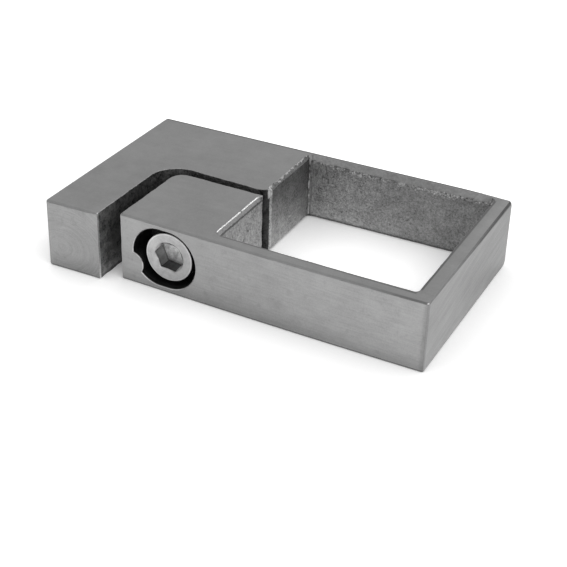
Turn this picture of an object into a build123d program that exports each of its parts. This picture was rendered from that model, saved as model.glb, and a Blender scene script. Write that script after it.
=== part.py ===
from build123d import *
import os

# Side-mount post bracket: one cast stainless body with an L-shaped clamp slot, and one
# socket-head screw that draws the clamp arm in against a square post. Millimetres, +Z up.
# The origin is on the post's axis, in the bottom plane. The wall is on the -X side, and
# the screw is turned from the -Y side.

# Post opening and the bars round it
post_size = 40.0
post_clearance = 0.4
wall_to_opening = 35.65
end_wall = 3.35
arm_bar = 3.0
back_bar = 1.7
body_height = 14.3
opening_corner = 0.7

# Bevels round the opening's top and bottom: one depth, and a width on each side
bevel_depth = 0.65
bevel_left = 0.65
bevel_back = 0.65
bevel_front = 0.45
bevel_right = 0.15

# Slot, with the arm as the screw holds it: depths are from the flange's front face
flange_width = 11.9
slot_mouth = 3.75
slot_bend = 4.1
slot_depth_at_bend = 25.6
slot_depth_at_exit = 24.45
gap_at_bend = 2.6
gap_at_exit = 1.95
slot_outer_corner = 6.0
slot_inner_corner = 2.7
slot_exit_round = 1.6
slot_exit_edge = 0.2

# Clamp arm: its front stands back from the flange's front by these amounts
step_at_end = 0.3
step_at_opening = 1.5
step_at_mouth = 2.35

# Outer edges
edge_round = 0.45
wall_corner = 0.6
end_front_corner = 0.5
end_back_corner = 0.8
back_relief = 0.4
back_relief_length = 13.0

# The back edges at the end wall are ground rounder, and the grinding runs out along the back
ground_bottom = 2.3
ground_top = 0.8
ground_length = 9.0

# Clamp screw: an M6 socket-head cap screw, threaded over its whole length
thread_diameter = 6.0
thread_clearance = 0.05
shank_clearance = 0.3
screw_length = 25.0
head_diameter = 10.2
head_height = 6.0
head_edge = 0.4
socket_across_flats = 5.0
socket_turn = -7.0
socket_depth = 3.2
socket_mouth = 6.2
socket_mouth_depth = 0.35
socket_point_depth = 0.7
screw_tip_bevel = 0.7
screw_to_opening = 9.85
tapped_run_out = 3.5
drill_point = 1.8

# Counterbore in the block's front: the room left round the head, and a nib beside the head
head_recess = 1.1
room_above = 0.95
room_left = 2.4
room_right = 1.45
nib_radius = 2.5
nib_room = 0.74
nib_angle = 20.7

# Tapped blind hole for the wall stud, in the middle of the wall face
stud_hole_diameter = 6.8
stud_hole_depth = 10.0
stud_hole_bevel = 0.6
stud_drill_point = 2.0

# Places that follow from the sizes above
opening = post_size + post_clearance
half_opening = opening / 2
x_wall = -half_opening - wall_to_opening
x_end = half_opening + end_wall
x_slot = x_wall + flange_width
x_screw = -half_opening - screw_to_opening
y_front = -half_opening - arm_bar - step_at_end
y_back = half_opening + back_bar
z_middle = body_height / 2

block_front_mouth = Vector(x_slot + slot_mouth, y_front + step_at_mouth)
block_front_exit = Vector(-half_opening, y_front + step_at_opening)
end_front = Vector(x_end, y_front + step_at_end)
block_line = block_front_exit - block_front_mouth
block_slope = block_line.Y / block_line.X
y_head = block_front_mouth.Y + block_slope * (x_screw - block_front_mouth.X) + head_recess
y_seat = y_head + head_height

# How far cutting shapes reach past the metal, and how near counts as lying on an outline
past = 5.0
near = 0.01


def round_corners(outline, corners):
    """Round the outline's corners that lie nearest the given points."""
    for point, radius in corners:
        nearest = outline.vertices().sort_by_distance(point)[0]
        outline = fillet(nearest, radius)
    return outline


def arm_bow(offset):
    """The bar's long bow, tangent to the block, as far behind the arm's front as the offset."""
    start = block_front_exit + Vector(0, offset)
    return TangentArc(start, end_front + Vector(0, offset), tangent=block_line)


def outer_outline():
    """The bracket's outside in plan, before the slot and the post opening are cut."""
    jog = Vector(x_slot + slot_mouth / 2, block_front_mouth.Y)
    relief_start = Vector(x_end - back_relief_length, y_back)
    relief_end = Vector(x_end, y_back - back_relief)
    outline = make_face([
        *Polyline((x_wall, y_front), (jog.X, y_front), jog, block_front_mouth, block_front_exit).edges(),
        arm_bow(0),
        Line(end_front, relief_end),
        TangentArc(relief_start, relief_end, tangent=(1, 0)),
        *Polyline(relief_start, (x_wall, y_back), (x_wall, y_front)).edges(),
    ])
    return round_corners(outline, [
        (Vector(x_wall, y_front), wall_corner),
        (Vector(x_wall, y_back), wall_corner),
        (end_front, end_front_corner),
        (relief_end, end_back_corner),
    ])


def opening_outline():
    """The post opening in plan, bounded on its front side by the bowed arm."""
    inside_bar = y_front + step_at_end + arm_bar / 2
    middle = Vector(0, (inside_bar + half_opening) / 2)
    window = Pos(middle.X, middle.Y) * Rectangle(opening, half_opening - inside_bar)
    bar = make_face([
        arm_bow(0),
        Line(end_front, end_front + Vector(0, arm_bar)),
        arm_bow(arm_bar),
        Line(block_front_exit + Vector(0, arm_bar), block_front_exit),
    ])
    return window - bar


def slot_outline():
    """The L-shaped slot in plan, from its mouth beside the flange into the post opening."""
    y_mouth = y_front - past
    y_bend = y_front + slot_depth_at_bend
    y_exit = y_front + slot_depth_at_exit
    block_side = Vector(slot_bend - slot_mouth, y_bend - gap_at_bend - block_front_mouth.Y)
    mouth_shift = block_side.X / block_side.Y * (block_front_mouth.Y - y_mouth)
    block_corner = block_front_mouth + block_side
    return make_face(Polyline(
        (x_slot, y_mouth),
        (x_slot, y_bend),
        (-half_opening, y_exit),
        (-half_opening + opening_corner, y_exit),
        (-half_opening + opening_corner, y_exit - gap_at_exit),
        (-half_opening, y_exit - gap_at_exit),
        (block_corner.X, block_corner.Y),
        (block_front_mouth.X - mouth_shift, y_mouth),
        close=True,
    ))


def void_outline():
    """Slot and opening as one cut, with its corners rounded."""
    y_bend = y_front + slot_depth_at_bend
    y_exit = y_front + slot_depth_at_exit
    outline = opening_outline() + slot_outline()
    return round_corners(outline, [
        (Vector(-half_opening, half_opening), opening_corner),
        (Vector(half_opening, half_opening), opening_corner),
        (end_front + Vector(-end_wall, arm_bar), opening_corner),
        (block_front_exit + Vector(0, arm_bar), opening_corner),
        (Vector(x_slot, y_bend), slot_outer_corner),
        (Vector(x_slot + slot_bend, y_bend - gap_at_bend), slot_inner_corner),
        (Vector(-half_opening, y_exit), slot_exit_round),
        (Vector(-half_opening, y_exit - gap_at_exit), slot_exit_edge),
    ])


def outer_rim(body, outline):
    """The body's top and bottom edges that lie on the outer outline."""
    rim = outline.face().outer_wire()
    heights = (0, body_height)
    flat = [edge for edge in body.edges() if edge.bounding_box().size.Z < near]
    level = [edge for edge in flat if min(abs(edge.center().Z - z) for z in heights) < near]
    middles = [edge.position_at(0.5) for edge in level]
    return [e for e, m in zip(level, middles) if rim.distance_to(Vector(m.X, m.Y)) < near]


def opening_bevels():
    """Bevels round the top and bottom of the post opening, as wide as stated on each side."""
    y_low = y_front + step_at_opening + arm_bar
    y_low_right = y_front + step_at_end + arm_bar

    def sides(left, right, back, front):
        return Polyline(
            (-half_opening - left, y_low - front),
            (half_opening + right, y_low_right - front),
            (half_opening + right, half_opening + back),
            (-half_opening - left, half_opening + back),
            close=True,
        )

    inner = make_face(sides(0, 0, 0, 0))
    outer = make_face(sides(bevel_left, bevel_right, bevel_back, bevel_front))
    top = loft([Pos(0, 0, body_height - bevel_depth) * inner, Pos(0, 0, body_height) * outer], ruled=True)
    return top + mirror(top, Plane.XY.offset(z_middle))


def ground_edge(radius):
    """What grinding takes off the bottom back edge at the end wall, running out along the back."""
    run_out = radius * (1 - 0.5 ** 0.5)
    slope = Vector(-ground_length, back_relief + run_out, -run_out).normalized()
    start = Vector(x_end, y_back - back_relief, 0) - slope * past
    corner = Rectangle(radius + past, radius + past, align=(Align.MIN, Align.MAX))
    profile = Pos(-radius, radius) * (corner - Circle(radius))
    placed = Plane(origin=start, x_dir=(0, 1, 0), z_dir=(1, 0, 0)) * profile
    return extrude(placed, ground_length + past, dir=slope)


def counterbore():
    """The pocket for the screw's head, with a nib left standing beside the head."""
    centre = (room_right - room_left) / 2
    width = room_left + head_diameter + room_right
    pocket = Pos(centre, 0) * SlotOverall(width, head_diameter + 2 * room_above)
    reach = head_diameter / 2 + nib_room + nib_radius
    nib = Rot(0, 0, nib_angle) * Pos(-reach, 0) * Circle(nib_radius)
    return extrude(screw_plane() * (pocket - nib), y_seat - y_front + past)


def screw_plane():
    """The plane of the head's seat, facing out of the counterbore."""
    return Plane(origin=(x_screw, y_seat, z_middle), x_dir=(1, 0, 0), z_dir=(0, -1, 0))


def screw_holes():
    """The clearance hole through the block and the tapped blind hole behind the slot."""
    slot_back = (slot_depth_at_bend + slot_depth_at_exit) / 2
    slot_middle = slot_back - (gap_at_bend + gap_at_exit) / 4
    through = y_front + slot_middle - y_seat
    deep = screw_length + tapped_run_out
    tapped_radius = thread_diameter / 2 + thread_clearance
    clearance = extrude(Circle(thread_diameter / 2 + shank_clearance), -through)
    tapped = extrude(Circle(tapped_radius), -deep)
    point = Pos(0, 0, -deep - drill_point / 2) * Rot(180, 0, 0) * Cone(tapped_radius, 0, drill_point)
    return screw_plane() * (clearance + tapped + point)


def stud_hole():
    """The tapped blind hole for the wall stud, with a bevelled mouth."""
    radius = stud_hole_diameter / 2
    place = Plane(
        origin=(x_wall, (y_front + y_back) / 2, z_middle), x_dir=(0, -1, 0), z_dir=(-1, 0, 0)
    )
    bore = extrude(Circle(radius), -stud_hole_depth)
    point = Pos(0, 0, -stud_hole_depth - stud_drill_point / 2) * Cone(0, radius, stud_drill_point)
    mouth = Pos(0, 0, -stud_hole_bevel / 2) * Cone(radius, radius + stud_hole_bevel, stud_hole_bevel)
    return place * (bore + point + mouth)


def bracket_body():
    """The one-piece casting: wall flange, back bar, end wall, clamp arm and its block."""
    outline = outer_outline()
    body = extrude(outline - void_outline(), body_height)
    body = fillet(outer_rim(body, outline), edge_round)
    body -= opening_bevels()
    body -= ground_edge(ground_bottom)
    body -= mirror(ground_edge(ground_top), Plane.XY.offset(z_middle))
    body -= counterbore()
    body -= screw_holes()
    body -= stud_hole()
    return body


def clamp_screw():
    """The clamp screw, drawn as a plain shank with its head and hexagon socket."""
    radius = thread_diameter / 2
    profile = make_face(Polyline(
        (0, -screw_length),
        (radius - screw_tip_bevel, -screw_length),
        (radius, -screw_length + screw_tip_bevel),
        (radius, 0),
        (head_diameter / 2, 0),
        (head_diameter / 2, head_height),
        (0, head_height),
        close=True,
    ))
    profile = round_corners(profile, [(Vector(head_diameter / 2, head_height), head_edge)])
    screw = revolve(Plane.XZ * profile, Axis.Z)
    hexagon = RegularPolygon(socket_across_flats / 2, 6, major_radius=False, rotation=socket_turn)
    floor = head_height - socket_depth
    socket = Pos(0, 0, floor) * extrude(hexagon, socket_depth)
    point = Pos(0, 0, floor - socket_point_depth / 2) * Cone(
        0, socket_across_flats / 2, socket_point_depth
    )
    mouth_floor = socket_across_flats / 2
    mouth = Pos(0, 0, head_height - socket_mouth_depth / 2) * Cone(
        mouth_floor, socket_mouth / 2, socket_mouth_depth
    )
    return screw_plane() * (screw - socket - point - mouth)


parts = {
    "bracket_body": bracket_body,
    "clamp_screw": clamp_screw,
}

os.makedirs("parts", exist_ok=True)
for name, make in parts.items():
    export_step(make(), f"parts/{name}.step")
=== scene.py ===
import bpy
import bmesh
import math
from mathutils import Matrix, Vector, noise


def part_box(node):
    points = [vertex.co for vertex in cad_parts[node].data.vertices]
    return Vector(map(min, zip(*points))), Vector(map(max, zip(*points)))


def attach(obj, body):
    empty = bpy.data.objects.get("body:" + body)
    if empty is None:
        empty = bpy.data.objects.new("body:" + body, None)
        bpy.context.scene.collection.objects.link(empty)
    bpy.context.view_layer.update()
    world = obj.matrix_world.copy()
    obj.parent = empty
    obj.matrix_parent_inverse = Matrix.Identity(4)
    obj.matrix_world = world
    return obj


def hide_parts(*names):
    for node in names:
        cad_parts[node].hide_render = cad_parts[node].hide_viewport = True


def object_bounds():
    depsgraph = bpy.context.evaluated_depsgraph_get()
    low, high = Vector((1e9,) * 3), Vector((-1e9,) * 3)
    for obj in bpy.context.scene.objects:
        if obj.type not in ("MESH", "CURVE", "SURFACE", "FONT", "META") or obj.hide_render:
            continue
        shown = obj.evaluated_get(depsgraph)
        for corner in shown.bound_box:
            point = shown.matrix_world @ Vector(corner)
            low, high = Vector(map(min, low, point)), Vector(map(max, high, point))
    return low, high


# The looks of a cast stainless post bracket and its clamp screw, in metres, in the CAD frame.
# Two pieces: the casting, rebuilt from the CAD body's own plan outline with rounded edges,
# rough cast walls and a tapped stud hole, and the screw, with its thread and socket.

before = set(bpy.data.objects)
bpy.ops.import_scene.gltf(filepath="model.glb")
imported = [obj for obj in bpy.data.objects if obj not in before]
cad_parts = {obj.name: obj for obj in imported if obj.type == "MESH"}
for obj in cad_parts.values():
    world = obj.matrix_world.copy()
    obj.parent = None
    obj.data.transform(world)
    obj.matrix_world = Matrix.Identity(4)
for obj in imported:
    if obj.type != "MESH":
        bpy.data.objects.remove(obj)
cad_low, cad_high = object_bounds()
MM = 0.001

# Camera, fitted to the straight edges of the object in the photograph
CAMERA_AZIMUTH = 25.915
CAMERA_ELEVATION = 30.575
CAMERA_ROLL = 1.761
CAMERA_DISTANCE = 262.774 * MM
CAMERA_TARGET = Vector((-11.806, -7.602, 0.0)) * MM
CAMERA_LENS = 85.56
CAMERA_SENSOR = 36.0
CAMERA_SHIFT = (-0.0009, 0.0009)
CAMERA_NEAREST = 10 * MM

# Body: its height, the opening's half width as in the part's source, and between which places the
# opening's left wall is broken by the slot's exit
HEIGHT = cad_high.z
Z_MIDDLE = HEIGHT / 2
HALF_OPENING = 20.2 * MM
SLOT_EXIT_FRONT = -1.3 * MM
SLOT_EXIT_BACK = 1.85 * MM

# Edges of the body, as plain numbers of millimetres: the outer edges are rounded, those of the
# opening bevelled to a width in plan and a depth, and the back one sags in its middle
OUTER_ROUND = 0.45
END_ROUND_FRONT = 0.3
END_ROUND_BACK = 1.1
END_ROUND_RISE = 1.6
WIDEST_ROUND = 0.6
CORNER_REACH = 9.0
BEVEL_DEPTH = 0.65
BEVEL_BACK_DEPTH = 0.95
BEVEL_BACK_SAG = 0.4
SAG_REACH = 20.0
BEVEL_LEFT = 0.65
BEVEL_BACK = 0.65
BEVEL_FRONT = 0.4
BEVEL_RIGHT = 0.15
CORNER_BLEND = 2.6
CORNER_THINNING = 0.85
SLOT_EDGE = 0.12

# Bottom back edge at the end wall, ground rounder, with the grinding running out along the back, and
# how far the cutting meshes reach past the body
X_END = cad_high.x
Y_BACK = cad_high.y
BACK_RELIEF = 0.4 * MM
GROUND_ROUND = 2.8 * MM
GROUND_LENGTH = 9.0 * MM
PAST = 3.0 * MM

# Clamp screw: the CAD screw's own box gives its axis, its head and its tip. The drill point starts at a
# share of the socket's inradius, the socket's cutter above the head, and the last ring short of the tip
screw_low, screw_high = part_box("clamp_screw")
X_SCREW = (screw_low.x + screw_high.x) / 2
Y_HEAD = screw_low.y
Y_TIP = screw_high.y
HEAD_RADIUS = (screw_high.x - screw_low.x) / 2
HEAD_HEIGHT = 6.0 * MM
Y_SEAT = Y_HEAD + HEAD_HEIGHT
HEAD_EDGE = 0.25 * MM
THREAD_RADIUS = 3.0 * MM
THREAD_PITCH = 1.0 * MM
THREAD_DEPTH = 0.54 * MM
THREAD_FLANK = 2.6
THREAD_ROOT = 0.75
TIP_BEVEL = 0.7 * MM
SOCKET_INRADIUS = 2.72 * MM
SOCKET_TURN = -7.0
SOCKET_DEPTH = 3.2 * MM
SOCKET_POINT_SHARE = 0.98
SOCKET_MOUTH = 3.2 * MM
SOCKET_MOUTH_DEPTH = 0.35 * MM
SOCKET_POINT = 0.7 * MM
ABOVE_HEAD = 0.5 * MM
SHORT_OF_TIP = 0.9999

# Counterbore, with its nib, on the block's front, which runs from the slot's mouth to the opening
BLOCK_MOUTH = Vector((-40.2, -21.15)) * MM
BLOCK_EXIT = Vector((-20.2, -22.0)) * MM
POCKET_HEIGHT = 12.1 * MM
POCKET_LEFT = 7.5 * MM
POCKET_RIGHT = 6.55 * MM
NIB_RADIUS = 2.5 * MM
NIB_REACH = 8.34 * MM
NIB_ANGLE = 20.7
LIP = 0.14 * MM

# Bores behind the screw's seat, and the tapped stud hole in the wall face
CLEARANCE_RADIUS = 3.3 * MM
TAPPED_RADIUS = 3.05 * MM
TAPPED_DEPTH = 28.5 * MM
TAPPED_POINT = 1.8 * MM
STUD_RADIUS = 3.4 * MM
STUD_THREAD_DEPTH = 0.55 * MM
STUD_PITCH = 1.25 * MM
STUD_DEPTH = 10.0 * MM
STUD_POINT = 2.0 * MM
STUD_MOUTH = 0.6 * MM
X_WALL = cad_low.x
Y_STUD = (cad_low.y + cad_high.y) / 2

# Mesh: the height at which the CAD body's outline is read, the spacing of its points, the rows up
# its walls and round its edges, and the points or rows of each hole and of the screw
SECTION_HEIGHT = 13.42 * MM
MERGE = 0.03 * MM
NEAR = 0.01 * MM
OUTER_SPACING = 1.2 * MM
INNER_SPACING = 0.4 * MM
WALL_ROWS = 30
EDGE_ROWS = 5
RIM_STEP = 0.04 * MM
POCKET_POINTS = 240
POCKET_HALVINGS = 40
BORE_POINTS = 72
STUD_POINTS = 64
STUD_ROWS = 96
GROUND_STEPS = 16
SCREW_POINTS = 72
HEAD_STEPS = 6
MOUTH_STEPS = 6
THREAD_ROWS = 240

# Material slots of the casting and of the screw
OUTER, OPENING, SLOT, BORE, EDGE = range(5)
HEAD, THREAD, SOCKET = range(3)


def smooth_shading(piece, angle=35):
    """Smooth normals with sharp edges where the surface turns by more than the angle."""
    piece.data.shade_smooth()
    piece.data.set_sharp_from_angle(angle=math.radians(angle))
    keep = piece.modifiers.new("normals", "WEIGHTED_NORMAL")
    keep.keep_sharp = True


def new_piece(name, bm, materials):
    """A new object from a bmesh, with these materials in its slots."""
    mesh = bpy.data.meshes.new(name)
    bm.normal_update()
    bm.to_mesh(mesh)
    bm.free()
    piece = bpy.data.objects.new(name, mesh)
    bpy.context.scene.collection.objects.link(piece)
    for material in materials:
        mesh.materials.append(material)
    return piece


def cut(piece, cutter):
    """Cut one closed mesh out of another and drop the cutter."""
    step = piece.modifiers.new("cut", "BOOLEAN")
    step.operation = "DIFFERENCE"
    step.solver = "EXACT"
    step.object = cutter
    evaluated = piece.evaluated_get(bpy.context.evaluated_depsgraph_get())
    mesh = bpy.data.meshes.new_from_object(evaluated)
    piece.modifiers.clear()
    piece.data = mesh
    bpy.data.objects.remove(cutter)


# Plan outline of the body

def section_loop(node, height):
    """The node's outline at a height, as plan points in order, anticlockwise."""
    bm = bmesh.new()
    bm.from_mesh(node.data)
    bmesh.ops.remove_doubles(bm, verts=bm.verts, dist=1e-6)
    geometry = bm.verts[:] + bm.edges[:] + bm.faces[:]
    section = bmesh.ops.bisect_plane(bm, geom=geometry, plane_co=(0, 0, height), plane_no=(0, 0, 1))
    links = {}
    for edge in section["geom_cut"]:
        if isinstance(edge, bmesh.types.BMEdge):
            a, b = edge.verts
            links.setdefault(a, []).append(b)
            links.setdefault(b, []).append(a)
    start = min(links, key=lambda v: (round(v.co.x, 6), v.co.y))
    walk = [start]
    step = links[start][0]
    while step is not start:
        walk.append(step)
        step = next(v for v in links[step] if v is not walk[-2])
    points = [Vector((v.co.x, v.co.y)) for v in walk]
    bm.free()
    twice_area = sum(a.x * b.y - a.y * b.x for a, b in zip(points, points[1:] + points[:1]))
    return points if twice_area > 0 else points[::-1]


def thinned(points, gap):
    """The loop without points that lie closer than the gap to the one before."""
    kept = [points[0]]
    for point in points[1:]:
        if (point - kept[-1]).length >= gap:
            kept.append(point)
    return kept


def turn(points, i):
    """How far the loop turns at a point, in degrees."""
    before = points[i] - points[i - 1]
    after = points[(i + 1) % len(points)] - points[i]
    return abs(math.degrees(before.angle_signed(after)))


def kinds_of(points):
    """What the stretch after each point lies on: the outside, the slot or the post opening."""
    corners = sorted(range(len(points)), key=lambda i: -turn(points, i))[:2]
    flange, mouth = sorted(corners, key=lambda i: points[i].x)
    kinds = []
    for i, point in enumerate(points):
        middle = (point + points[(i + 1) % len(points)]) / 2
        in_opening = abs(middle.x) < HALF_OPENING + NEAR
        at_exit = middle.x <= 0 and SLOT_EXIT_FRONT < middle.y < SLOT_EXIT_BACK
        if not flange <= i < mouth:
            kinds.append(OUTER)
        elif in_opening and not at_exit:
            kinds.append(OPENING)
        else:
            kinds.append(SLOT)
    return kinds


def subdivided(points, kinds):
    """The loop with its long stretches divided, and the kind of each stretch."""
    fine, fine_kinds = [], []
    for i, point in enumerate(points):
        following = points[(i + 1) % len(points)]
        spacing = OUTER_SPACING if kinds[i] == OUTER else INNER_SPACING
        count = max(1, math.ceil((following - point).length / spacing))
        for k in range(count):
            fine.append(point.lerp(following, k / count))
            fine_kinds.append(kinds[i])
    return fine, fine_kinds


def outward_normals(points):
    """Mitred outward normals of an anticlockwise loop."""
    normals = []
    count = len(points)
    for i, point in enumerate(points):
        before = (point - points[i - 1]).normalized()
        after = (points[(i + 1) % count] - point).normalized()
        first = Vector((before.y, -before.x))
        second = Vector((after.y, -after.x))
        middle = (first + second).normalized()
        normals.append(middle / max(0.5, middle.dot(first)))
    return normals


# Casting: how ragged each kind of edge is, the share of it that is left in the front half, how far
# each kind of wall waves except in the slot's mouth, and how often the sizes are averaged along the
# loop. Frequencies are per metre.

RAGGED = {OUTER: 0.0, OPENING: 0.16 * MM, SLOT: 0.05 * MM}
BLOCK_RAGGED = 0.12
RAG_FREQUENCY = 900
WAVE = {OUTER: 0.0, OPENING: 0.05 * MM, SLOT: 0.11 * MM}
WAVE_FREQUENCY = 450
RIPPLE_FREQUENCY = 1400
RIPPLE_SHARE = 0.6
STILL_MOUTH = -22.3 * MM
SOFTENING = 3


def edge_size(kind, point, normal, at_top):
    """How far an edge's bevel or rounding reaches in plan and down, by its place."""
    x, y = point.x / MM, point.y / MM
    if kind == SLOT:
        return SLOT_EDGE * MM, SLOT_EDGE * MM
    if kind == OUTER:
        along = max(0.0, min(1.0, (y / Y_BACK * MM + 1) / 2)) ** END_ROUND_RISE
        at_end = max(0.0, 1 - (X_END / MM - x) / CORNER_REACH) ** 2
        size = OUTER_ROUND
        if at_top and (normal.x > 0.5 or normal.y > 0.5):
            size += at_end * (END_ROUND_FRONT + along * (END_ROUND_BACK - END_ROUND_FRONT) - OUTER_ROUND)
        return min(size, WIDEST_ROUND) * MM, size * MM
    near_right = max(0.0, 1 - (HALF_OPENING / MM - x) / CORNER_BLEND) ** 1.5
    back_width = BEVEL_BACK * (1 - CORNER_THINNING * near_right)
    back_depth = BEVEL_BACK_DEPTH + BEVEL_BACK_SAG * (1 - (x / SAG_REACH) ** 2)
    sides = (
        (-normal.x, BEVEL_RIGHT, BEVEL_DEPTH),
        (normal.x, BEVEL_LEFT, BEVEL_DEPTH),
        (-normal.y, back_width, back_depth),
        (normal.y, BEVEL_FRONT, BEVEL_DEPTH),
    )
    shares = [max(0.0, facing) ** 2 for facing, _, _ in sides]
    width = sum(share * side[1] for share, side in zip(shares, sides)) / sum(shares)
    depth = sum(share * side[2] for share, side in zip(shares, sides)) / sum(shares)
    return width * MM, depth * MM


def softened(values, rounds):
    """A closed list of numbers, averaged with its neighbours."""
    for _ in range(rounds):
        values = [
            (values[i - 1] + 2 * values[i] + values[(i + 1) % len(values)]) / 4
            for i in range(len(values))
        ]
    return values


def edge_profile(width, depth, straight, step):
    """Inset from the wall and drop from the cap, at a step along the edge from wall to cap."""
    share = step / EDGE_ROWS
    angle = share * math.pi / 2
    inset = width * ((1 - straight) * (1 - math.cos(angle)) + straight * share)
    rise = depth * ((1 - straight) * math.sin(angle) + straight * share)
    return inset, depth - rise


def body_rows(points, kinds):
    """Rows of vertices from the bottom cap's rim to the top cap's rim."""
    normals = outward_normals(points)
    units = [normal.normalized() for normal in normals]
    straight = softened([1.0 if kind == OPENING else 0.0 for kind in kinds], SOFTENING)
    wave = softened([WAVE[kind] for kind in kinds], SOFTENING)
    count = len(points)

    def spans(at_top):
        """The ragged widths and depths of the edge at the bottom or the top."""
        sizes = [edge_size(kind, point, unit, at_top) for kind, point, unit in zip(kinds, points, units)]
        width = softened([size[0] for size in sizes], SOFTENING)
        depth = softened([size[1] for size in sizes], SOFTENING)
        for i, point in enumerate(points):
            ragged = RAGGED[kinds[i]] * (1.0 if point.y > 0 else BLOCK_RAGGED)
            spot = Vector((point.x, point.y, at_top))
            rag = 1 + ragged / depth[i] * noise.noise(spot * RAG_FREQUENCY)
            width[i] *= rag
            depth[i] *= rag
        return width, depth

    def place(i, inset, z):
        """A vertex at an inset from the loop's point and a height, with the wall's waves."""
        point, normal = points[i], normals[i]
        ripple = 0.0
        if wave[i] > 0 and point.y > STILL_MOUTH:
            spot = Vector((point.x, point.y, z))
            fine = noise.noise(spot * RIPPLE_FREQUENCY)
            ripple = wave[i] * (noise.noise(spot * WAVE_FREQUENCY) + RIPPLE_SHARE * fine)
        flat = point - normal * (inset + ripple)
        return (flat.x, flat.y, z)

    def edge_rows(level, width, depth, steps):
        """The rows of one edge, whose cap lies at a level."""
        rows = []
        for step in steps:
            shape = [edge_profile(width[i], depth[i], straight[i], step) for i in range(count)]
            rows.append([place(i, inset, abs(level - drop)) for i, (inset, drop) in enumerate(shape)])
        return rows

    low_width, low_depth = spans(0.0)
    high_width, high_depth = spans(1.0)
    rows = [[place(i, low_width[i] + RIM_STEP, 0.0) for i in range(count)]]
    rows += edge_rows(0.0, low_width, low_depth, range(EDGE_ROWS, -1, -1))
    top = [HEIGHT - depth for depth in high_depth]
    for k in range(1, WALL_ROWS):
        share = k / WALL_ROWS
        rows.append([place(i, 0.0, low_depth[i] + share * (top[i] - low_depth[i])) for i in range(count)])
    rows += edge_rows(HEIGHT, high_width, high_depth, range(EDGE_ROWS + 1))
    rows.append([place(i, high_width[i] + RIM_STEP, HEIGHT) for i in range(count)])
    return rows


def casting_mesh():
    """The body without its holes: one closed skin over the plan loop."""
    loop = thinned(section_loop(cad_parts["bracket_body"], SECTION_HEIGHT), MERGE)
    points, kinds = subdivided(loop, kinds_of(loop))
    bm = bmesh.new()
    rows = [[bm.verts.new(co) for co in row] for row in body_rows(points, kinds)]
    count = len(points)
    for low, high in zip(rows, rows[1:]):
        for i in range(count):
            j = (i + 1) % count
            face = bm.faces.new((low[i], low[j], high[j], high[i]))
            face.material_index = kinds[i]
    bm.faces.new(rows[-1])
    bm.faces.new(rows[0][::-1])
    return bm


# Holes and the ground corner, as closed cutting meshes

def grid_solid(rows, bands, start=None, end=None):
    """A closed solid from rings of points and the material of each band between two rings.

    Each end has a fan to a point or a flat cap, in its band's material."""
    bm = bmesh.new()
    rings = [[bm.verts.new(point) for point in row] for row in rows]
    count = len(rows[0])
    for one, two, band in zip(rings, rings[1:], bands):
        for i in range(count):
            j = (i + 1) % count
            bm.faces.new((one[i], one[j], two[j], two[i])).material_index = band
    for ring, tip, band in ((rings[0], start, bands[0]), (rings[-1], end, bands[-1])):
        if tip is None:
            bm.faces.new(ring).material_index = band
        else:
            peak = bm.verts.new(tip)
            for i in range(count):
                bm.faces.new((ring[i], ring[(i + 1) % count], peak)).material_index = band
    bmesh.ops.recalc_face_normals(bm, faces=bm.faces)
    return bm


def circle_angles(count, turn_by=0.0):
    """Even angles round a circle in radians, the first turned by some degrees."""
    return [2 * math.pi * i / count + math.radians(turn_by) for i in range(count)]


def screw_point(radius, angle, y):
    """A point about the clamp screw's axis."""
    return (X_SCREW + radius * math.cos(angle), y, Z_MIDDLE + radius * math.sin(angle))


def pocket_reach(angle):
    """How far the counterbore's wall lies from the screw's axis in one direction."""
    direction = Vector((math.cos(angle), math.sin(angle)))
    end_radius = POCKET_HEIGHT / 2
    half_length = (POCKET_LEFT + POCKET_RIGHT) / 2 - end_radius
    centre = (POCKET_RIGHT - POCKET_LEFT) / 2
    near, far = 0.0, POCKET_LEFT + POCKET_RIGHT
    for _ in range(POCKET_HALVINGS):
        middle = (near + far) / 2
        spot = direction * middle
        along = abs(spot.x - centre) - half_length
        if math.hypot(max(0.0, along), spot.y) < end_radius:
            near = middle
        else:
            far = middle
    turned = math.radians(NIB_ANGLE)
    nib = -Vector((math.cos(turned), math.sin(turned))) * NIB_REACH
    along = direction.dot(nib)
    aside = nib.length_squared - along * along
    if along > 0 and aside < NIB_RADIUS ** 2:
        near = min(near, along - math.sqrt(NIB_RADIUS ** 2 - aside))
    return near


def pocket_cutter():
    """The counterbore for the screw's head, with a small bevel round its mouth."""
    angles = circle_angles(POCKET_POINTS)
    outline = [Vector((math.cos(a), math.sin(a))) * pocket_reach(a) for a in angles]
    normals = outward_normals(outline)
    slope = (BLOCK_EXIT.y - BLOCK_MOUTH.y) / (BLOCK_EXIT.x - BLOCK_MOUTH.x)

    def ring(grow, below_face):
        """The outline, grown, at a depth below the block's front or else at the screw's seat."""
        row = []
        for point, normal in zip(outline, normals):
            spot = point + normal * grow
            face = BLOCK_MOUTH.y + slope * (X_SCREW + spot.x - BLOCK_MOUTH.x)
            y = Y_SEAT if below_face is None else face + below_face
            row.append((X_SCREW + spot.x, y, Z_MIDDLE + spot.y))
        return row

    rows = [ring(LIP, -PAST), ring(LIP, 0.0), ring(0.0, LIP), ring(0.0, None)]
    return grid_solid(rows, [EDGE, EDGE, BORE])


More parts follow.
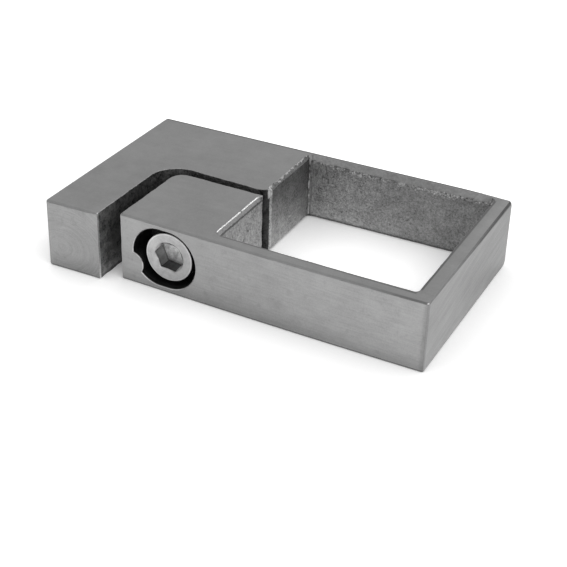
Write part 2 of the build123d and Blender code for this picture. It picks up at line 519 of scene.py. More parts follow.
def bore_cutter():
    """The clearance hole through the block and the tapped bore behind the slot."""
    angles = circle_angles(BORE_POINTS)
    sizes = (
        (CLEARANCE_RADIUS, Y_SEAT - LIP),
        (CLEARANCE_RADIUS, 0.0),
        (TAPPED_RADIUS, 0.0),
        (TAPPED_RADIUS, Y_SEAT + TAPPED_DEPTH),
    )
    rows = [[screw_point(radius, a, y) for a in angles] for radius, y in sizes]
    tip = (X_SCREW, Y_SEAT + TAPPED_DEPTH + TAPPED_POINT, Z_MIDDLE)
    return grid_solid(rows, [BORE] * (len(rows) - 1), end=tip)


def thread_height(along, angle, pitch):
    """The thread's form, from 0 in the root to 1 on the crest, with a flat at each."""
    phase = (along / pitch - angle / (2 * math.pi)) % 1.0
    return min(1.0, max(0.0, THREAD_FLANK * abs(phase - 0.5) * 2 - THREAD_ROOT))


def stud_cutter():
    """The tapped blind hole in the wall face, with its bevelled mouth and its drill point."""
    angles = circle_angles(STUD_POINTS)
    rows = []
    for k in range(-1, STUD_ROWS + 1):
        depth = STUD_DEPTH * k / STUD_ROWS
        fade = min(1.0, max(0.0, (STUD_DEPTH - depth) / STUD_PITCH - 0.5))
        row = []
        for a in angles:
            thread = STUD_RADIUS + STUD_THREAD_DEPTH * fade * thread_height(depth, a, STUD_PITCH)
            mouth = STUD_RADIUS + STUD_MOUTH - max(0.0, depth)
            radius = max(thread, mouth)
            row.append((X_WALL + depth, Y_STUD - radius * math.cos(a), Z_MIDDLE + radius * math.sin(a)))
        rows.append(row)
    tip = (X_WALL + STUD_DEPTH + STUD_POINT, Y_STUD, Z_MIDDLE)
    return grid_solid(rows, [BORE] * (len(rows) - 1), end=tip)


def ground_cutter():
    """What grinding takes off the bottom back edge at the end wall."""
    run_out = GROUND_ROUND * (1 - math.sqrt(0.5))
    slope = Vector((-GROUND_LENGTH, BACK_RELIEF + run_out, -run_out)).normalized()
    start = Vector((X_END, Y_BACK - BACK_RELIEF, 0.0)) - slope * PAST
    angles = [math.radians(-90 + 90 * k / GROUND_STEPS) for k in range(GROUND_STEPS + 1)]
    reach = (GROUND_ROUND + PAST) / GROUND_ROUND
    profile = [(math.cos(a), math.sin(a)) for a in angles]
    profile += [(reach, 0.0), (reach, -reach), (0.0, -reach)]
    near = [start + Vector((0, (u - 1) * GROUND_ROUND, (v + 1) * GROUND_ROUND)) for u, v in profile]
    far = [point + slope * (GROUND_LENGTH + PAST) for point in near]
    return grid_solid([near, far], [OUTER])


# Clamp screw

def head_profile():
    """Radius and place of the head's rings, from the middle of its top face to under the head."""
    rings = [(HEAD_RADIUS * 0.5, Y_HEAD), (HEAD_RADIUS - HEAD_EDGE * 1.15, Y_HEAD)]
    for k in range(HEAD_STEPS + 1):
        angle = math.radians(90 * k / HEAD_STEPS)
        inset = HEAD_EDGE * (1 - math.sin(angle))
        rings.append((HEAD_RADIUS - inset, Y_HEAD + HEAD_EDGE * (1 - math.cos(angle))))
    rings += [(HEAD_RADIUS, Y_SEAT - LIP), (HEAD_RADIUS - LIP, Y_SEAT), (THREAD_RADIUS + LIP, Y_SEAT)]
    return rings


def screw_mesh():
    """The head and the threaded shank, before the socket is cut."""
    angles = circle_angles(SCREW_POINTS, SOCKET_TURN)
    rows = [[screw_point(radius, a, y) for a in angles] for radius, y in head_profile()]
    head_bands = len(rows)
    for k in range(THREAD_ROWS + 1):
        along = (Y_TIP - Y_SEAT) * k / THREAD_ROWS
        run_in = min(1.0, along / THREAD_PITCH)
        to_tip = Y_TIP - Y_SEAT - along
        row = []
        for a in angles:
            radius = THREAD_RADIUS - THREAD_DEPTH * run_in * (1 - thread_height(along, a, THREAD_PITCH))
            radius = min(radius, THREAD_RADIUS - TIP_BEVEL + to_tip)
            row.append(screw_point(radius, a, Y_SEAT + LIP * (1 - run_in) + along * SHORT_OF_TIP))
        rows.append(row)
    bands = [HEAD] * head_bands + [THREAD] * THREAD_ROWS
    return grid_solid(rows, bands, start=(X_SCREW, Y_HEAD, Z_MIDDLE), end=(X_SCREW, Y_TIP, Z_MIDDLE))


def socket_cutter():
    """The hexagon socket, with a coned mouth and a drill point in its floor."""
    angles = circle_angles(SCREW_POINTS, SOCKET_TURN)

    def hexagon(angle):
        """The socket's radius in one direction."""
        part = (angle - math.radians(SOCKET_TURN)) % (math.pi / 3) - math.pi / 6
        return SOCKET_INRADIUS / math.cos(part)

    rows = []
    cone_depths = [SOCKET_MOUTH_DEPTH * k / MOUTH_STEPS for k in range(1, MOUTH_STEPS + 1)]
    for depth in (-ABOVE_HEAD, 0.0, *cone_depths, SOCKET_DEPTH):
        down = min(1.0, max(0.0, depth / SOCKET_MOUTH_DEPTH))
        cone = SOCKET_MOUTH - (SOCKET_MOUTH - SOCKET_INRADIUS) * down
        rows.append([screw_point(max(hexagon(a), cone), a, Y_HEAD + depth) for a in angles])
    point_radius = SOCKET_INRADIUS * SOCKET_POINT_SHARE
    rows.append([screw_point(point_radius, a, Y_HEAD + SOCKET_DEPTH) for a in angles])
    bands = [HEAD] * (MOUTH_STEPS + 1) + [SOCKET, SOCKET]
    return grid_solid(rows, bands, end=(X_SCREW, Y_HEAD + SOCKET_DEPTH + SOCKET_POINT, Z_MIDDLE))


# Materials

class Field:
    """A number that a finish works out for each spot of a surface."""

    def __init__(self, finish, socket):
        self.finish = finish
        self.socket = socket

    def calc(self, operation, other=0.0):
        """The outcome of one operation of the maths node."""
        node = self.finish.add("ShaderNodeMath", {0: self, 1: other}, operation=operation)
        return Field(self.finish, node.outputs[0])

    def __add__(self, other):
        return self.calc("ADD", other)

    def __sub__(self, other):
        return self.calc("SUBTRACT", other)

    def __mul__(self, other):
        return self.calc("MULTIPLY", other)

    def __rsub__(self, other):
        return self * -1 + other

    __radd__ = __add__
    __rmul__ = __mul__

    def step(self, start, end):
        """A smooth step from 0 at the start to 1 at the end, which may lie below the start."""
        inputs = {"Value": self, "From Min": start, "From Max": end}
        node = self.finish.add("ShaderNodeMapRange", inputs, interpolation_type="SMOOTHSTEP")
        return Field(self.finish, node.outputs[0])

    def band(self, start, end, soft):
        """1 between two values and 0 outside them, with soft ends."""
        return self.step(start - soft, start + soft) * self.step(end + soft, end - soft)

    def mix(self, other, share):
        """The number, moved to another by a share."""
        return self + (other - self) * share

    def size(self):
        """The number without its sign."""
        return self.calc("ABSOLUTE")

    def clamped(self):
        """The number, kept between 0 and 1."""
        return self.calc("MAXIMUM", 0.0).calc("MINIMUM", 1.0)


# 4D noise is weak at whole numbers of its fourth coordinate, so each seed is moved off them
SEED_SHIFT = 0.37


class Finish:
    """A surface finish, from the place in millimetres and the facing of each spot."""

    def __init__(self, name):
        self.material = bpy.data.materials.new(name)
        self.material.use_nodes = True
        self.tree = self.material.node_tree
        self.tree.nodes.clear()
        output = self.add("ShaderNodeOutputMaterial")
        self.shader = self.add("ShaderNodeBsdfPrincipled", {"Metallic": 1.0})
        self.tree.links.new(self.shader.outputs[0], output.inputs[0])
        coordinates = self.add("ShaderNodeTexCoord")
        self.place = coordinates.outputs["Object"]
        self.x, self.y, self.z = (part * 1000 for part in self.split(self.place))
        self.facing_x, self.facing_y, self.facing_z = self.split(coordinates.outputs["Normal"])
        steepest = self.facing_x.size().calc("MAXIMUM", self.facing_y.size())
        self.on_edge = steepest.calc("MAXIMUM", self.facing_z.size()).step(0.995, 0.90)

    def add(self, kind, inputs=None, **settings):
        """A new node with its settings, and with its inputs linked or set."""
        node = self.tree.nodes.new(kind)
        for key, value in settings.items():
            setattr(node, key, value)
        for key, value in (inputs or {}).items():
            if isinstance(value, Field):
                value = value.socket
            if isinstance(value, bpy.types.NodeSocket):
                self.tree.links.new(value, node.inputs[key])
            else:
                node.inputs[key].default_value = value
        return node

    def split(self, vector):
        """The three parts of a vector."""
        node = self.add("ShaderNodeSeparateXYZ", {0: vector})
        return [Field(self, socket) for socket in node.outputs]

    def place_by(self, size):
        """The place, counted in a size in millimetres."""
        inputs = {0: self.place, 1: (1000 / size,) * 3}
        return self.add("ShaderNodeVectorMath", inputs, operation="MULTIPLY").outputs[0]

    def cloth(self, vector, detail, seed):
        """Noise from -1 to 1 over a vector."""
        inputs = {"Vector": vector, "W": seed + SEED_SHIFT, "Scale": 1.0, "Detail": detail}
        node = self.add("ShaderNodeTexNoise", inputs, noise_dimensions="4D")
        return (Field(self, node.outputs[0]) - 0.5) * 2

    def noise(self, size, detail=3.0, seed=0.0):
        """Noise about zero with blots of a size in millimetres."""
        return self.cloth(self.place_by(size), detail, seed)

    def streaks(self, across, along, width, length, seed=0.0):
        """Noise about zero in streaks of a width and a length in millimetres."""
        vector = self.add("ShaderNodeCombineXYZ", {0: across * (1 / width), 1: along * (1 / length)})
        return self.cloth(vector.outputs[0], 2.0, seed)

    def pits(self, size, seed=0.0):
        """1 in the middle of scattered round pits of a spacing in millimetres, else 0."""
        inputs = {"Vector": self.place_by(size), "W": seed, "Scale": 1.0}
        node = self.add("ShaderNodeTexVoronoi", inputs, voronoi_dimensions="4D")
        return Field(self, node.outputs["Distance"]).step(0.42, 0.12)

    def apply(self, colour, roughness, relief, depth):
        """Connect the colour, the roughness and a relief whose unit is a depth in millimetres."""
        mixed = self.add("ShaderNodeCombineColor", {0: colour, 1: colour, 2: colour})
        bump = self.add("ShaderNodeBump", {"Height": relief, "Distance": depth * MM})
        self.tree.links.new(mixed.outputs[0], self.shader.inputs["Base Color"])
        self.tree.links.new(roughness.socket, self.shader.inputs["Roughness"])
        self.tree.links.new(bump.outputs[0], self.shader.inputs["Normal"])
        return self.material


def grey(value):
    """An opaque grey."""
    return (value, value, value, 1.0)


# Places of painted marks, in millimetres in the CAD frame. A pair says where a soft step starts and
# where it ends, along the axis that its name ends in, or as squared distances where it says squared.

# Outside: the flange's front with its swirls; painted light and shade on the block, the bar and the end
# wall; painted dark shade lines beside the back edge, the opening and the arm's inner edge; and a painted
# highlight on the lit corner at the front right
FLANGE_X = (-42.0, -42.6)
SWIRL_X = -52.6
SWIRL_Z = 4.9
BLOCK_X = (-26.0, -41.0)
BAR_END_X = (-8.0, 18.0)
FRONT_FOOT_Z = (4.0, 0.2)
FRONT_CORNER_X = (22.2, 23.2)
TO_BACK_Y = (-20.0, 21.0)
END_FOOT_Z = (10.0, 0.0)
END_CORNER_Y = (-22.6, -23.3)
TOP_END_X = (21.2, 22.4)
UPRIGHT_X = (22.5, 22.8)
UPRIGHT_Y = (-22.0, -22.4)
FRONT_EDGE_X = (20.0, 12.0)
BACK_RIM_Y = (21.05, 21.35)
END_RIM_X = (20.0, 20.80)
END_RIM_HALF = 19.5
ARM_SLOPE = 0.0343
ARM_RIM_Y = (-20.6, -20.35)
ARM_RIM_BACK_Y = (-15.0, -18.0)
ARM_RIM_X = (-19.5, 20.2)
LIT_CORNER = (23.3, -23.2, 14.15)
LIT_SQUARED = (0.14, 0.02)


def ground_brushing(f, up, right, flange, bar, mist):
    """Brushing along the bar and the top, up the end wall's face, and swirls on the flange."""
    aside, above = f.x - SWIRL_X, f.z - SWIRL_Z
    swirl = (aside * aside * 0.8 + above * above * 1.3).calc("SQRT") + mist * 0.5
    climb = f.z * 0.99 - f.y * 0.12
    wide = f.streaks(climb, f.y, width=1.4, length=14.0, seed=3.0)
    narrow = f.streaks(climb, f.y, width=0.4, length=9.0, seed=3.5)
    brushed = bar * f.streaks(f.z + f.x * 0.03 + mist * 0.35, f.x, width=0.35, length=5.0, seed=1.0) * 0.75
    brushed += flange * f.streaks(swirl, f.x, width=0.36, length=3.5, seed=2.0) * 1.25
    brushed += right * (wide * 0.55 + narrow * 0.75)
    return brushed + up * f.streaks(f.y - f.x * 0.05, f.x, width=0.9, length=9.0, seed=4.0) * 0.35


def ground_shading(f, up, front, right, flange, bar):
    """Painted light and shade of each side, by its place, as a factor, with a painted sheen on the top."""
    to_back = f.y.step(*TO_BACK_Y)
    along = bar * (f.x.step(*BLOCK_X) * 0.16 + f.x.step(*BAR_END_X) * 0.10)
    along = along - bar * 0.05 - flange * 0.05
    # Painted light and shade on the front: darker towards the floor and at the end wall's corner, lighter
    # towards the slot's mouth and the end
    side = front * (1 - f.z.step(*FRONT_FOOT_Z) * 0.16) * (1 + along)
    side = side * (1 - f.x.step(*FRONT_CORNER_X) * 0.24)
    # Painted light and shade on the end wall's face: lighter towards the floor, darker towards the back
    # and at its front corner
    end_wall = right * (0.85 - to_back * 0.22) * (1 + f.z.step(*END_FOOT_Z) * 0.27)
    side += end_wall * (1 - f.y.step(*END_CORNER_Y) * 0.08)
    # A painted sheen on the top's strip over the end wall, towards the back
    top = up * (1.07 + f.x.step(*TOP_END_X) * to_back * 0.12)
    return side + (top + (1 - front - right - up))


def ground_edges(f, up, colour):
    """The colour, with painted shade on the edges, in thin dark lines along the rims and on the
    undersides; the upright at the front right less so.
    """
    top_right = f.on_edge * f.facing_x.step(0.15, 0.4) * f.facing_z.step(0.1, 0.3)
    top_front = f.facing_y.step(-0.1, -0.3) * f.facing_z.step(0.1, 0.3)
    top_back = f.facing_y.step(0.05, 0.25) * f.facing_z.step(0.3, 0.5)
    # Painted shade on the rounded edges, deeper on the end wall's top edge towards the back and on the
    # back's top edge
    dark = f.on_edge * (1 - top_front * f.x.step(*FRONT_EDGE_X)) * 0.32
    dark += top_right * (0.04 + 0.40 * f.y.step(*TO_BACK_Y)) + top_back * 0.3
    tilt = f.facing_z.size()
    back_edge = f.on_edge * f.facing_y.step(0.2, 0.5) * (1 - tilt.step(0.1, 0.3))
    # Painted shade on the undersides and on the back's top edge
    under = f.facing_z.step(-0.05, -0.3) + back_edge
    front_corner = f.x.step(*UPRIGHT_X) * f.y.step(*UPRIGHT_Y)
    upright = f.on_edge * (1 - tilt.step(0.05, 0.2)) * front_corner
    # Painted shade in thin dark lines on the top beside the back edge, the opening's right edge and the
    # arm's inner edge
    rims = f.facing_z.step(0.1, 0.3) * f.y.step(*BACK_RIM_Y) * 0.75
    rims += up * f.x.band(*END_RIM_X, 0.1) * f.y.band(-END_RIM_HALF, END_RIM_HALF, 0.5) * 0.5
    arm_rim = up * (f.y + f.x * ARM_SLOPE).step(*ARM_RIM_Y) * f.y.step(*ARM_RIM_BACK_Y)
    rims += arm_rim * f.x.band(*ARM_RIM_X, 0.2) * 0.4
    return colour * (1 - dark + upright * 0.12) * (1 - rims) * (1 - under * 0.4)


def ground_finish():
    """Ground and blasted outside: soft clouds, brushing on the sides, swirls on the flange, and painted
    light and shade.
    """
    f = Finish("steel_ground")
    up = f.facing_z.step(0.6, 0.95)
    front = f.facing_y.step(-0.6, -0.95)
    right = f.facing_x.step(0.6, 0.95)
    flange = front * f.x.step(*FLANGE_X)
    bar = front * (1 - flange)
    cloud = f.noise(13.0, detail=2.0, seed=6.0)
    mist = f.noise(3.2, detail=4.0, seed=7.0)
    grain = f.noise(0.24, detail=2.0, seed=8.0)
    brushed = ground_brushing(f, up, right, flange, bar, mist)
    fine = (front + right) * f.streaks(f.z, f.x + f.y, width=0.07, length=3.0, seed=5.0)
    blots = f.noise(1.4, detail=3.0, seed=11.0).step(0.12, 0.45) * front
    tone = 1 + cloud * 0.13 + mist * 0.15 + brushed * 0.22 + fine * 0.06 + grain * 0.14 - blots * 0.10
    side = ground_shading(f, up, front, right, flange, bar)
    colour = ground_edges(f, up, tone * side) * 0.325
    # A painted highlight on the lit corner at the front right
    aside, away, below = (part - at for part, at in zip((f.x, f.y, f.z), LIT_CORNER))
    squared = aside * aside + away * away + below * below
    colour = colour.mix(0.9, squared.step(*LIT_SQUARED) * f.facing_z.step(0.3, 0.6))
    # On the end wall the light streaks are smoother, because rougher ones look darker there
    roughness = 0.40 + cloud * 0.04 + mist * 0.02 + brushed * (1 - right * 1.6) * 0.10 - f.on_edge * 0.08
    relief = brushed * 0.7 + fine * 0.5 + grain * 0.8 + mist
    return f.apply(colour, roughness, relief, depth=0.010)


# Cast walls: where the left wall passes from the flange to the block, the painted light and shade of the
# walls, the back's broken edge, the block's top edge with its painted shade line and painted highlight
# line, and the flange's fringe and burr, whose light is partly painted highlight
BLOCK_WALL_Y = (0.5, -0.5)
CAST_FOOT_Z = (0.75, 0.3)
FLANGE_LOW_Z = (9.0, 0.0)
FLANGE_HIGH_Z = (5.0, 13.0)
FLANGE_BACK_Y = (13.0, 20.0)
BACK_LEFT_X = (0.0, -16.0)
BACK_LOW_Z = (7.0, 1.0)
BACK_LOW_X = (10.0, -6.0)
SAG_SQUARED_X = (380.0, 60.0)
CRUMBLE_Z = (12.65, 12.85)
BLOCK_UNDER_Z = (13.10, 13.60)
BLOCK_BEVEL_Z = (13.60, 13.72)
BLOCK_LINE_Z = (14.13, 14.17)
BLOCK_SHINE_Z = (14.1, 14.15)
FRINGE_Z = (14.02, 14.14)
FLANGE_BURR_Y = (3.15, 3.0)
FLANGE_BURR_Z = (12.4, 12.9)


def cast_finish():
    """As-cast walls of the opening: grainy and pitted, with filed, crumbling top edges, painted light and
    shade, and painted highlights.
    """
    f = Finish("steel_cast")
    left = f.facing_x.step(0.3, 0.8)
    back = f.facing_y.step(-0.25, -0.6)
    block = left * f.y.step(*BLOCK_WALL_Y)
    flange = left * (1 - block)
    coarse = f.noise(2.2, detail=4.0, seed=1.0)
    grain = f.noise(0.42, detail=3.0, seed=2.0)
    sand = f.noise(0.16, detail=2.0, seed=3.0)
    pits = f.pits(1.1, seed=4.0) * f.noise(2.6, detail=1.0, seed=5.0).step(0.1, 0.3)
    teeth = f.noise(0.8, detail=3.0, seed=6.0)
    # Painted light and shade: the block's wall lighter and the back darker, the flange's wall lighter
    # towards the floor and darker towards the top and back, the back lighter to the left and low down
    colour = 0.32 + block * 0.06 - back * 0.015
    flange_shading = 0.07 * f.z.step(*FLANGE_LOW_Z) - 0.13 * f.z.step(*FLANGE_HIGH_Z)
    colour += flange * (flange_shading - 0.05 * f.y.step(*FLANGE_BACK_Y))
    low_left = 0.05 * f.z.step(*BACK_LOW_Z) * f.x.step(*BACK_LOW_X)
    colour += back * (0.08 * f.x.step(*BACK_LEFT_X) - 0.05 + low_left)
    # Painted shade along the walls' foot, at the floor
    tone = (1 + coarse * 0.42 + grain * 0.95 + sand * 0.7) * (1 - f.z.step(*CAST_FOOT_Z) * 0.45)
    colour = colour * tone * (1 - pits * 0.45)
    filed = f.facing_z.step(0.25, 0.42)
    broken = f.z + teeth * 1.2
    sag = BEVEL_BACK_SAG * (f.x * f.x).step(*SAG_SQUARED_X)
    crumbs = back * (broken + sag).step(*CRUMBLE_Z) * (1 - filed)
    colour = colour.mix((0.36 + grain * 0.75) * (1 + sand), crumbs)
    colour = colour.mix(0.34 * (1 + coarse * 0.25 + grain * 0.5), back * filed)
    # Painted shade in a dark line under the block's bevel
    under = block * (f.z + teeth * 0.25).band(*BLOCK_UNDER_Z, 0.06)
    colour = colour * (1 - under * 0.6)
    colour = colour.mix(0.30 * (1 + grain * 0.5), block * f.z.step(*BLOCK_BEVEL_Z))
    # Painted highlight: a near-white line along the block's top edge
    colour = colour.mix(0.98, block * (f.z + teeth * 0.02).step(*BLOCK_LINE_Z))
    fringe = flange * (f.z + teeth * 1.1 + sand * 0.3).step(*FRINGE_Z)
    colour = colour.mix(0.50 * (1 + grain * 1.5), fringe)
    # A burr on the flange beside the slot's exit, painted light as its highlight
    burr_highlight = 0.45 + 0.55 * f.z.step(*FLANGE_BURR_Z) + grain * 0.8
    colour = colour.mix(0.72, flange * f.y.step(*FLANGE_BURR_Y) * burr_highlight)
    # Painted shade in the corner where the left and back walls meet, and a painted glint of light beside
    # it
    corner = f.facing_x * f.facing_y * -1
    colour = colour * (1 - corner.step(0.05, 0.2) * f.facing_x.step(0.0, 0.2) * 0.45)
    speckle = f.noise(1.2, detail=3.0, seed=9.0)
    glint = corner.step(0.40, 0.47) * f.facing_x.step(0.6, 0.75) * (0.35 + speckle * 2)
    colour = colour.mix(0.75, glint.clamped() * f.facing_z.step(0.3, 0.1))
    smooth = back * filed
    roughness = 0.55 + grain * 0.15 - smooth * 0.1 - block * f.z.step(*BLOCK_SHINE_Z) * 0.3
    relief = (coarse * 1.5 + grain * 1.6 + sand * 0.6 - pits * 1.6) * (1 - smooth * 0.7)
    relief += crumbs * teeth * 3.0
    return f.apply(colour, roughness, relief, depth=0.04)


# Slot: the edges of its mouth and its rim, with painted highlights, its foot with painted shade, its
# painted lighter front part, and its exit to the opening
FLANGE_MOUTH_Y = (-22.9, -23.05)
BLOCK_MOUTH_Y = (-21.3, -20.98)
BLOCK_MOUTH_X = (-41.0, -40.6)
SLOT_RIM_Z = (14.16, 14.24)
SLOT_FOOT_Z = (1.0, 0.2)
SLOT_LIGHT_Y = (-14.0, -21.0)
EXIT_X = (-22.3, -21.6)
EXIT_Y = (0.6, 0.95)
EXIT_LINE_Y = (2.0, 2.25)
EXIT_BURR_Y = (1.6, 1.9)
EXIT_BURR_Z = (12.3, 12.6)


def slot_finish():
    """Walls of the clamp slot, mottled and painted dark as shade, with a painted highlight hairline on
    their sharp edges.
    """
    f = Finish("steel_slot")
    coarse = f.noise(1.5, detail=4.0, seed=1.0)
    grain = f.noise(0.36, detail=3.0, seed=2.0)
    mouth_edge = f.y.step(*FLANGE_MOUTH_Y) + f.y.band(*BLOCK_MOUTH_Y, 0.04) * f.x.step(*BLOCK_MOUTH_X)
    rim = f.z.step(*SLOT_RIM_Z)
    at_exit = f.x.step(*EXIT_X) * f.y.step(*EXIT_Y)
    exit_line = at_exit * f.y.step(*EXIT_LINE_Y) * (0.75 + grain * 1.5)
    burr_highlight = at_exit * f.y.step(*EXIT_BURR_Y) * (f.z + coarse).step(*EXIT_BURR_Z)
    hairline = mouth_edge + rim * 0.4 * (1 - at_exit)
    # Painted shade: the walls painted dark, lighter towards the mouth, darker at the foot and darkest at
    # the exit
    colour = (0.18 + 0.10 * f.y.step(*SLOT_LIGHT_Y)) * (1 + coarse * 1.2 + grain * 1.1)
    colour = colour * (1 - 0.6 * f.z.step(*SLOT_FOOT_Z)) * (1 - at_exit * 0.72)
    # Painted highlights on the sharp edges, and a burr at the exit painted light as its highlight
    colour = colour.mix(0.70 * (1 + grain * 0.5), hairline.calc("MINIMUM", 1.0))
    colour = colour.mix(0.60, exit_line.calc("MAXIMUM", burr_highlight).clamped())
    roughness = 0.55 + grain * 0.15
    relief = coarse * 1.8 + grain
    return f.apply(colour, roughness, relief, depth=0.04)


def bore_finish():
    """Counterbore and bores, painted dark as shade, turned round the screw's axis."""
    f = Finish("steel_bore")
    grain = f.noise(0.3, detail=3.0, seed=1.0)
    turned = f.streaks(f.y, f.x, width=0.18, length=30.0, seed=2.0)
    return f.apply(0.10 * (1 + grain * 0.5 + turned * 0.4), 0.45 + grain * 0.1, turned + grain, depth=0.01)


def edge_finish():
    """Deburred edge round the counterbore."""
    f = Finish("steel_edge")
    worn = f.noise(0.8, detail=3.0, seed=1.0)
    return f.apply(0.52 * (1 + worn * 0.5), 0.32 + worn * 0.1, worn, depth=0.01)


def from_axis(f):
    """Distance from the screw's axis in millimetres."""
    aside, up = f.x - X_SCREW / MM, f.z - Z_MIDDLE / MM
    return (aside * aside + up * up).calc("SQRT")


# Screw's head: its outer rim and the socket's rim, which get painted highlights, and how far below the
# axis that one is fully light
HEAD_RIM_RADII = (4.72, 4.98)
SOCKET_RIM_RADII = (3.3, 3.1)
SOCKET_RIM_DROP = 1.5


def head_finish():
    """Bright turned head, with fine rings, a few handling marks, painted highlights on its rims and
    painted light across it.
    """
    f = Finish("steel_head")
    radius = from_axis(f)
    rings = f.streaks(radius, f.x * 0.2 + f.z * 0.2, width=0.10, length=8.0, seed=1.0)
    marks = f.noise(1.1, detail=4.0, seed=2.0)
    grain = f.noise(0.2, detail=2.0, seed=3.0)
    # Painted highlights on the head's outer rim and the socket's lower rim, and painted light falling off
    # across the head
    rim = radius.band(*HEAD_RIM_RADII, 0.05) * f.facing_y.step(-0.3, -0.6)
    painted_light = 1 - (f.x - X_SCREW / MM) * 0.028 + (f.z - Z_MIDDLE / MM) * 0.012
    low = f.z.step(Z_MIDDLE / MM, Z_MIDDLE / MM - SOCKET_RIM_DROP)
    mouth = radius.step(*SOCKET_RIM_RADII) * low
    tone = (1 + rings * 0.20 + marks * 0.38 + grain * 0.20) * (1 + rim * 0.30 + mouth * 0.35) * painted_light
    roughness = 0.34 + marks * 0.12 + rings * 0.06
    relief = rings + marks * 1.2 + grain * 0.5
    return f.apply(0.385 * tone, roughness, relief, depth=0.008)


def thread_finish():
    """Rolled thread, smooth and about as light as the head."""
    f = Finish("steel_thread")
    marks = f.noise(0.9, detail=3.0, seed=1.0)
    grain = f.noise(0.2, detail=2.0, seed=2.0)
    return f.apply(0.40 * (1 + marks * 0.2 + grain * 0.1), 0.32 + marks * 0.1, marks + grain, depth=0.006)


# Depths in the socket between which its flats get painted shade, to its mouth and to its floor
MOUTH_DARK = (0.9, 0.2)
FLOOR_DARK = (2.5, 3.1)


def socket_finish():
    """Forged socket: flats with faint lines along them and painted light and shade by their facing and
    towards both ends, and a brighter floor.
    """
    f = Finish("steel_socket")
    floor = f.facing_y.step(-0.5, -0.8)
    lines = f.streaks(f.x * 0.5 + f.z * 0.5, f.y, width=0.16, length=4.0, seed=1.0)
    end_shade = f.y.step(*(Y_HEAD / MM + depth for depth in MOUTH_DARK))
    end_shade += f.y.step(*(Y_HEAD / MM + depth for depth in FLOOR_DARK))
    grain = f.noise(0.3, detail=3.0, seed=2.0)
    marks = f.noise(0.7, detail=4.0, seed=3.0)
    # Painted shade on the flats that face up and towards both ends, and painted light on those that face
    # right
    flats = 0.42 * (1 + lines * 0.35 + grain * 0.2 + marks * 0.3) * (1 - f.facing_z.step(0.2, 0.7) * 0.78)
    flats = flats * (1 + f.facing_x.step(0.3, 0.8) * 0.30) * (1 - end_shade * 0.45)
    colour = flats.mix(0.86 * (1 + marks * 0.8 + grain * 0.4), floor)
    return f.apply(colour, 0.42 + grain * 0.1, lines + grain + marks, depth=0.01)


# Camera and studio

def view_axes(azimuth, elevation):
    """Unit vectors towards the camera, to its right and up."""
    a, e = math.radians(azimuth), math.radians(elevation)
    back = Vector((math.sin(a) * math.cos(e), -math.cos(a) * math.cos(e), math.sin(e)))
    right = Vector((math.cos(a), math.sin(a), 0.0))
    return back, right, back.cross(right)


def make_camera():
    """The photograph's camera."""
    back, right, up = view_axes(CAMERA_AZIMUTH, CAMERA_ELEVATION)
    roll = math.radians(CAMERA_ROLL)
    tilted_right = right * math.cos(roll) + up * math.sin(roll)
    tilted_up = up * math.cos(roll) - right * math.sin(roll)
    data = bpy.data.cameras.new("camera")
    data.lens = CAMERA_LENS
    data.sensor_width = CAMERA_SENSOR
    data.shift_x, data.shift_y = CAMERA_SHIFT
    data.clip_start = CAMERA_NEAREST
    camera = bpy.data.objects.new("camera", data)
    bpy.context.scene.collection.objects.link(camera)
    turned = Matrix((tilted_right, tilted_up, back)).transposed().to_4x4()
    camera.matrix_world = Matrix.Translation(CAMERA_TARGET + back * CAMERA_DISTANCE) @ turned
    bpy.context.scene.camera = camera


# Floor and lamps: each lamp has its place, its size and its power
FLOOR_HALF = 8.0
FLOOR_COLOUR = 0.8
FLOOR_GLOW = 0.62
SHADOW_REACH = 0.015
KEY_LAMP = ((0.5, -0.25, 0.7), 0.8, 2.5)
RIM_LAMP = ((0.5, 0.77, 0.38), 0.25, 0.5)


def make_floor():
    """A pale floor that reads white and keeps the object's soft shadow."""
    bm = bmesh.new()
    bmesh.ops.create_grid(bm, x_segments=1, y_segments=1, size=FLOOR_HALF)
    f = Finish("floor_white")
    path = f.add("ShaderNodeLightPath")
    seen = Field(f, path.outputs["Is Camera Ray"])
    for kind in ("Is Glossy Ray", "Is Transmission Ray"):
        seen = seen.calc("MAXIMUM", Field(f, path.outputs[kind]))
    shade = f.add("ShaderNodeAmbientOcclusion", {"Distance": SHADOW_REACH}, samples=8)
    glow = seen * Field(f, shade.outputs["AO"]) * FLOOR_GLOW
    settings = {
        "Base Color": grey(FLOOR_COLOUR),
        "Metallic": 0.0,
        "Roughness": 0.9,
        "Specular IOR Level": 0.1,
        "Emission Color": grey(1.0),
    }
    for key, value in settings.items():
        f.shader.inputs[key].default_value = value
    f.tree.links.new(glow.socket, f.shader.inputs["Emission Strength"])
    floor = new_piece("floor", bm, [f.material])


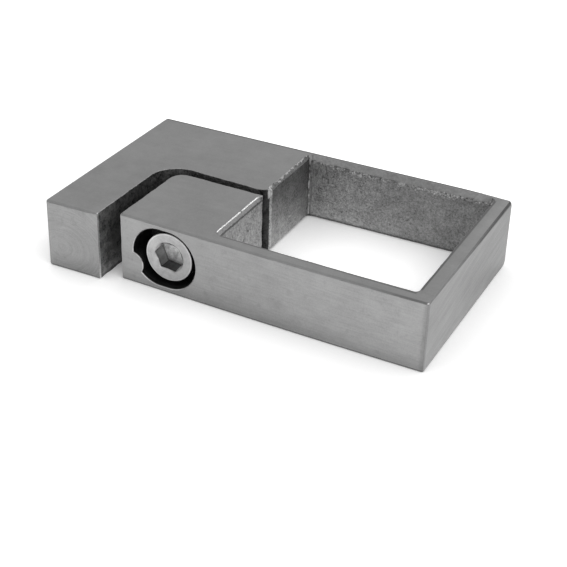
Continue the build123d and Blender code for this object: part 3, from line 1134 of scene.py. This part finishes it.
# Brightness of the surroundings by height: pairs of the direction's z and the strength
SKY = ((-0.05, 0.25), (0.01, 0.08), (0.10, 0.10), (0.26, 0.62), (0.50, 0.80), (0.80, 0.62), (1.0, 0.55))


def make_world():
    """Soft surroundings: a dim belt at the horizon under a bright, even sky."""
    world = bpy.data.worlds.new("studio")
    world.use_nodes = True
    bpy.context.scene.world = world
    tree = world.node_tree
    sky = tree.nodes["Background"]
    place = tree.nodes.new("ShaderNodeTexCoord")
    split = tree.nodes.new("ShaderNodeSeparateXYZ")
    tree.links.new(place.outputs["Generated"], split.inputs[0])
    share = tree.nodes.new("ShaderNodeMapRange")
    share.inputs["From Min"].default_value = -1.0
    tree.links.new(split.outputs["Z"], share.inputs["Value"])
    ramp = tree.nodes.new("ShaderNodeValToRGB")
    tree.links.new(share.outputs[0], ramp.inputs[0])
    stops = ramp.color_ramp.elements
    while len(stops) < len(SKY):
        stops.new(0.5)
    for stop, (z, strength) in zip(stops, SKY):
        stop.position = (z + 1) / 2
        stop.color = grey(strength)
    tree.links.new(ramp.outputs[0], sky.inputs[0])


def softbox(name, place, size, power):
    """A square area lamp that faces the part's origin."""
    data = bpy.data.lights.new(name, "AREA")
    data.shape = "SQUARE"
    data.size = size
    data.energy = power
    lamp = bpy.data.objects.new(name, data)
    bpy.context.scene.collection.objects.link(lamp)
    lamp.location = place
    lamp.rotation_euler = (-Vector(place)).to_track_quat("-Z", "Y").to_euler()


make_camera()
make_world()
make_floor()
softbox("key", *KEY_LAMP)
softbox("rim", *RIM_LAMP)
bpy.context.scene.view_settings.view_transform = "Standard"

steel = [ground_finish(), cast_finish(), slot_finish(), bore_finish(), edge_finish()]
casting = new_piece("bracket_casting", casting_mesh(), steel)
for make in (pocket_cutter, bore_cutter, stud_cutter, ground_cutter):
    cut(casting, new_piece("cutter", make(), steel))
smooth_shading(casting)
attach(casting, "bracket")
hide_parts("bracket_body")

screw_steel = [head_finish(), thread_finish(), socket_finish()]
screw = new_piece("clamp_screw_threaded", screw_mesh(), screw_steel)
cut(screw, new_piece("cutter", socket_cutter(), screw_steel))
smooth_shading(screw)
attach(screw, "screw")
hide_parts("clamp_screw")
